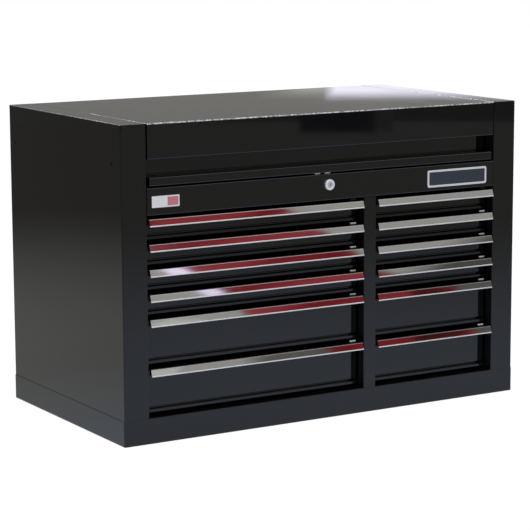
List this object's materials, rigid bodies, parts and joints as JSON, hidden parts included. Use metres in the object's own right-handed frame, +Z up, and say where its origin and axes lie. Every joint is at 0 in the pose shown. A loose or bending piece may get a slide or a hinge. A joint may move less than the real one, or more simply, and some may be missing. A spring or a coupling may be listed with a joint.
{
  "type": "tool chest",
  "caption": "Black steel top chest with a lift-up lid over a till, two banks of recessed drawers with full-width aluminium pulls, and a lock in the fascia.",
  "frame": {"origin": "middle of the base, on the floor", "axes": "+X to the right seen from the front, +Y to the back, +Z up"},
  "size_m": [1.0434, 0.576, 0.696],
  "materials": {
    "black_powder_coat": "gloss black powder coat",
    "bright_aluminium": "bright extruded and clear anodised",
    "zinc_plated_steel": "bright zinc plate",
    "chrome_plate": "polished chrome plate"
  },
  "bodies": {
    "case": {"side_columns": "black_powder_coat", "base_pan": "black_powder_coat", "back_panel": "black_powder_coat", "centre_divider": "black_powder_coat", "till_pan": "black_powder_coat", "case_slide_channels": "zinc_plated_steel", "lock_housing": "chrome_plate"},
    "lid": {"lid": "black_powder_coat"},
    "lock_plug": {"lock_plug": "chrome_plate"},
    "lock_bar": {"lock_bar": "zinc_plated_steel"},
    "strut_cylinders": {"gas_strut_cylinders": "black_powder_coat"},
    "strut_rods": {"gas_strut_rods": "zinc_plated_steel"},
    "drawer_left_1": {"drawer_tray_left_1": "black_powder_coat", "drawer_pull_left_1": "bright_aluminium"},
    "carriages_left_1": {"slide_carriages_left_1": "zinc_plated_steel"},
    "latch_left_1": {"drawer_latch_left_1": "zinc_plated_steel"},
    "drawer_left_2": {"drawer_tray_left_2": "black_powder_coat", "drawer_pull_left_2": "bright_aluminium"},
    "carriages_left_2": {"slide_carriages_left_2": "zinc_plated_steel"},
    "latch_left_2": {"drawer_latch_left_2": "zinc_plated_steel"},
    "drawer_left_3": {"drawer_tray_left_3": "black_powder_coat", "drawer_pull_left_3": "bright_aluminium"},
    "carriages_left_3": {"slide_carriages_left_3": "zinc_plated_steel"},
    "latch_left_3": {"drawer_latch_left_3": "zinc_plated_steel"},
    "drawer_left_4": {"drawer_tray_left_4": "black_powder_coat", "drawer_pull_left_4": "bright_aluminium"},
    "carriages_left_4": {"slide_carriages_left_4": "zinc_plated_steel"},
    "latch_left_4": {"drawer_latch_left_4": "zinc_plated_steel"},
    "drawer_left_5": {"drawer_tray_left_5": "black_powder_coat", "drawer_pull_left_5": "bright_aluminium"},
    "carriages_left_5": {"slide_carriages_left_5": "zinc_plated_steel"},
    "latch_left_5": {"drawer_latch_left_5": "zinc_plated_steel"},
    "drawer_left_6": {"drawer_tray_left_6": "black_powder_coat", "drawer_pull_left_6": "bright_aluminium"},
    "carriages_left_6": {"slide_carriages_left_6": "zinc_plated_steel"},
    "latch_left_6": {"drawer_latch_left_6": "zinc_plated_steel"},
    "drawer_right_1": {"drawer_tray_right_1": "black_powder_coat", "drawer_pull_right_1": "bright_aluminium"},
    "carriages_right_1": {"slide_carriages_right_1": "zinc_plated_steel"},
    "latch_right_1": {"drawer_latch_right_1": "zinc_plated_steel"},
    "drawer_right_2": {"drawer_tray_right_2": "black_powder_coat", "drawer_pull_right_2": "bright_aluminium"},
    "carriages_right_2": {"slide_carriages_right_2": "zinc_plated_steel"},
    "latch_right_2": {"drawer_latch_right_2": "zinc_plated_steel"},
    "drawer_right_3": {"drawer_tray_right_3": "black_powder_coat", "drawer_pull_right_3": "bright_aluminium"},
    "carriages_right_3": {"slide_carriages_right_3": "zinc_plated_steel"},
    "latch_right_3": {"drawer_latch_right_3": "zinc_plated_steel"},
    "drawer_right_4": {"drawer_tray_right_4": "black_powder_coat", "drawer_pull_right_4": "bright_aluminium"},
    "carriages_right_4": {"slide_carriages_right_4": "zinc_plated_steel"},
    "latch_right_4": {"drawer_latch_right_4": "zinc_plated_steel"},
    "drawer_right_5": {"drawer_tray_right_5": "black_powder_coat", "drawer_pull_right_5": "bright_aluminium"},
    "carriages_right_5": {"slide_carriages_right_5": "zinc_plated_steel"},
    "latch_right_5": {"drawer_latch_right_5": "zinc_plated_steel"},
    "drawer_right_6": {"drawer_tray_right_6": "black_powder_coat", "drawer_pull_right_6": "bright_aluminium"},
    "carriages_right_6": {"slide_carriages_right_6": "zinc_plated_steel"},
    "latch_right_6": {"drawer_latch_right_6": "zinc_plated_steel"}
  },
  "joints": [
    {"name": "lid_hinge", "type": "hinge", "parent": "case", "child": "lid", "pos_m": [0, 0.28475, 0.671], "axis": [-1, 0, 0], "range_deg": [0, 70]},
    {"name": "lock_turn", "type": "hinge", "parent": "case", "child": "lock_plug", "pos_m": [0, -0.2815, 0.534], "axis": [0, 1, 0], "range_deg": [0, 90.2]},
    {"name": "lock_bar_slide", "type": "slide", "parent": "case", "child": "lock_bar", "axis": [0, 0, 1], "range_m": [0, 0.008]},
    {"name": "strut_pivot", "type": "hinge", "parent": "case", "child": "strut_cylinders", "pos_m": [0, 0.25075, 0.546], "axis": [-1, 0, 0], "range_deg": [0, 19.42]},
    {"name": "strut_rod_slide", "type": "slide", "parent": "strut_cylinders", "child": "strut_rods", "axis": [0, -0.2459, 0.9693], "range_m": [0, 0.05976]},
    {"name": "drawer_left_1_slide", "type": "slide", "parent": "case", "child": "drawer_left_1", "axis": [0, -1, 0], "range_m": [0, 0.44]},
    {"name": "carriages_left_1_slide", "type": "slide", "parent": "case", "child": "carriages_left_1", "axis": [0, -1, 0], "range_m": [0, 0.221]},
    {"name": "latch_left_1_turn", "type": "hinge", "parent": "drawer_left_1", "child": "latch_left_1", "pos_m": [-0.182, -0.2665, 0.4823], "axis": [-1, 0, 0], "range_deg": [0, 14], "stiffness_Nm_per_rad": 0.03, "springref_deg": -8.59},
    {"name": "drawer_left_2_slide", "type": "slide", "parent": "case", "child": "drawer_left_2", "axis": [0, -1, 0], "range_m": [0, 0.44]},
    {"name": "carriages_left_2_slide", "type": "slide", "parent": "case", "child": "carriages_left_2", "axis": [0, -1, 0], "range_m": [0, 0.221]},
    {"name": "latch_left_2_turn", "type": "hinge", "parent": "drawer_left_2", "child": "latch_left_2", "pos_m": [-0.182, -0.2665, 0.4278], "axis": [-1, 0, 0], "range_deg": [0, 14], "stiffness_Nm_per_rad": 0.03, "springref_deg": -8.59},
    {"name": "drawer_left_3_slide", "type": "slide", "parent": "case", "child": "drawer_left_3", "axis": [0, -1, 0], "range_m": [0, 0.44]},
    {"name": "carriages_left_3_slide", "type": "slide", "parent": "case", "child": "carriages_left_3", "axis": [0, -1, 0], "range_m": [0, 0.221]},
    {"name": "latch_left_3_turn", "type": "hinge", "parent": "drawer_left_3", "child": "latch_left_3", "pos_m": [-0.182, -0.2665, 0.3733], "axis": [-1, 0, 0], "range_deg": [0, 14], "stiffness_Nm_per_rad": 0.03, "springref_deg": -8.59},
    {"name": "drawer_left_4_slide", "type": "slide", "parent": "case", "child": "drawer_left_4", "axis": [0, -1, 0], "range_m": [0, 0.44]},
    {"name": "carriages_left_4_slide", "type": "slide", "parent": "case", "child": "carriages_left_4", "axis": [0, -1, 0], "range_m": [0, 0.221]},
    {"name": "latch_left_4_turn", "type": "hinge", "parent": "drawer_left_4", "child": "latch_left_4", "pos_m": [-0.182, -0.2665, 0.3188], "axis": [-1, 0, 0], "range_deg": [0, 14], "stiffness_Nm_per_rad": 0.03, "springref_deg": -8.59},
    {"name": "drawer_left_5_slide", "type": "slide", "parent": "case", "child": "drawer_left_5", "axis": [0, -1, 0], "range_m": [0, 0.44]},
    {"name": "carriages_left_5_slide", "type": "slide", "parent": "case", "child": "carriages_left_5", "axis": [0, -1, 0], "range_m": [0, 0.221]},
    {"name": "latch_left_5_turn", "type": "hinge", "parent": "drawer_left_5", "child": "latch_left_5", "pos_m": [-0.182, -0.2665, 0.2643], "axis": [-1, 0, 0], "range_deg": [0, 14], "stiffness_Nm_per_rad": 0.03, "springref_deg": -8.59},
    {"name": "drawer_left_6_slide", "type": "slide", "parent": "case", "child": "drawer_left_6", "axis": [0, -1, 0], "range_m": [0, 0.44]},
    {"name": "carriages_left_6_slide", "type": "slide", "parent": "case", "child": "carriages_left_6", "axis": [0, -1, 0], "range_m": [0, 0.221]},
    {"name": "latch_left_6_turn", "type": "hinge", "parent": "drawer_left_6", "child": "latch_left_6", "pos_m": [-0.182, -0.2665, 0.1553], "axis": [-1, 0, 0], "range_deg": [0, 14], "stiffness_Nm_per_rad": 0.03, "springref_deg": -8.59},
    {"name": "drawer_right_1_slide", "type": "slide", "parent": "case", "child": "drawer_right_1", "axis": [0, -1, 0], "range_m": [0, 0.44]},
    {"name": "carriages_right_1_slide", "type": "slide", "parent": "case", "child": "carriages_right_1", "axis": [0, -1, 0], "range_m": [0, 0.221]},
    {"name": "latch_right_1_turn", "type": "hinge", "parent": "drawer_right_1", "child": "latch_right_1", "pos_m": [0.2945, -0.2665, 0.4823], "axis": [-1, 0, 0], "range_deg": [0, 14], "stiffness_Nm_per_rad": 0.03, "springref_deg": -8.59},
    {"name": "drawer_right_2_slide", "type": "slide", "parent": "case", "child": "drawer_right_2", "axis": [0, -1, 0], "range_m": [0, 0.44]},
    {"name": "carriages_right_2_slide", "type": "slide", "parent": "case", "child": "carriages_right_2", "axis": [0, -1, 0], "range_m": [0, 0.221]},
    {"name": "latch_right_2_turn", "type": "hinge", "parent": "drawer_right_2", "child": "latch_right_2", "pos_m": [0.2945, -0.2665, 0.4278], "axis": [-1, 0, 0], "range_deg": [0, 14], "stiffness_Nm_per_rad": 0.03, "springref_deg": -8.59},
    {"name": "drawer_right_3_slide", "type": "slide", "parent": "case", "child": "drawer_right_3", "axis": [0, -1, 0], "range_m": [0, 0.44]},
    {"name": "carriages_right_3_slide", "type": "slide", "parent": "case", "child": "carriages_right_3", "axis": [0, -1, 0], "range_m": [0, 0.221]},
    {"name": "latch_right_3_turn", "type": "hinge", "parent": "drawer_right_3", "child": "latch_right_3", "pos_m": [0.2945, -0.2665, 0.3733], "axis": [-1, 0, 0], "range_deg": [0, 14], "stiffness_Nm_per_rad": 0.03, "springref_deg": -8.59},
    {"name": "drawer_right_4_slide", "type": "slide", "parent": "case", "child": "drawer_right_4", "axis": [0, -1, 0], "range_m": [0, 0.44]},
    {"name": "carriages_right_4_slide", "type": "slide", "parent": "case", "child": "carriages_right_4", "axis": [0, -1, 0], "range_m": [0, 0.221]},
    {"name": "latch_right_4_turn", "type": "hinge", "parent": "drawer_right_4", "child": "latch_right_4", "pos_m": [0.2945, -0.2665, 0.3188], "axis": [-1, 0, 0], "range_deg": [0, 14], "stiffness_Nm_per_rad": 0.03, "springref_deg": -8.59},
    {"name": "drawer_right_5_slide", "type": "slide", "parent": "case", "child": "drawer_right_5", "axis": [0, -1, 0], "range_m": [0, 0.44]},
    {"name": "carriages_right_5_slide", "type": "slide", "parent": "case", "child": "carriages_right_5", "axis": [0, -1, 0], "range_m": [0, 0.221]},
    {"name": "latch_right_5_turn", "type": "hinge", "parent": "drawer_right_5", "child": "latch_right_5", "pos_m": [0.2945, -0.2665, 0.2643], "axis": [-1, 0, 0], "range_deg": [0, 14], "stiffness_Nm_per_rad": 0.03, "springref_deg": -8.59},
    {"name": "drawer_right_6_slide", "type": "slide", "parent": "case", "child": "drawer_right_6", "axis": [0, -1, 0], "range_m": [0, 0.44]},
    {"name": "carriages_right_6_slide", "type": "slide", "parent": "case", "child": "carriages_right_6", "axis": [0, -1, 0], "range_m": [0, 0.221]},
    {"name": "latch_right_6_turn", "type": "hinge", "parent": "drawer_right_6", "child": "latch_right_6", "pos_m": [0.2945, -0.2665, 0.1553], "axis": [-1, 0, 0], "range_deg": [0, 14], "stiffness_Nm_per_rad": 0.03, "springref_deg": -8.59}
  ],
  "couplings": [
    {"joint": "lock_turn", "follows": "lock_bar_slide", "rad_per_m": 196.35},
    {"joint": "strut_pivot", "follows": "lid_hinge", "ratio": 0.27451},
    {"joint": "strut_rod_slide", "follows": "lid_hinge", "m_per_rad": 0.048505},
    {"joint": "carriages_left_1_slide", "follows": "drawer_left_1_slide", "ratio": 0.5},
    {"joint": "carriages_left_2_slide", "follows": "drawer_left_2_slide", "ratio": 0.5},
    {"joint": "carriages_left_3_slide", "follows": "drawer_left_3_slide", "ratio": 0.5},
    {"joint": "carriages_left_4_slide", "follows": "drawer_left_4_slide", "ratio": 0.5},
    {"joint": "carriages_left_5_slide", "follows": "drawer_left_5_slide", "ratio": 0.5},
    {"joint": "carriages_left_6_slide", "follows": "drawer_left_6_slide", "ratio": 0.5},
    {"joint": "carriages_right_1_slide", "follows": "drawer_right_1_slide", "ratio": 0.5},
    {"joint": "carriages_right_2_slide", "follows": "drawer_right_2_slide", "ratio": 0.5},
    {"joint": "carriages_right_3_slide", "follows": "drawer_right_3_slide", "ratio": 0.5},
    {"joint": "carriages_right_4_slide", "follows": "drawer_right_4_slide", "ratio": 0.5},
    {"joint": "carriages_right_5_slide", "follows": "drawer_right_5_slide", "ratio": 0.5},
    {"joint": "carriages_right_6_slide", "follows": "drawer_right_6_slide", "ratio": 0.5}
  ]
}
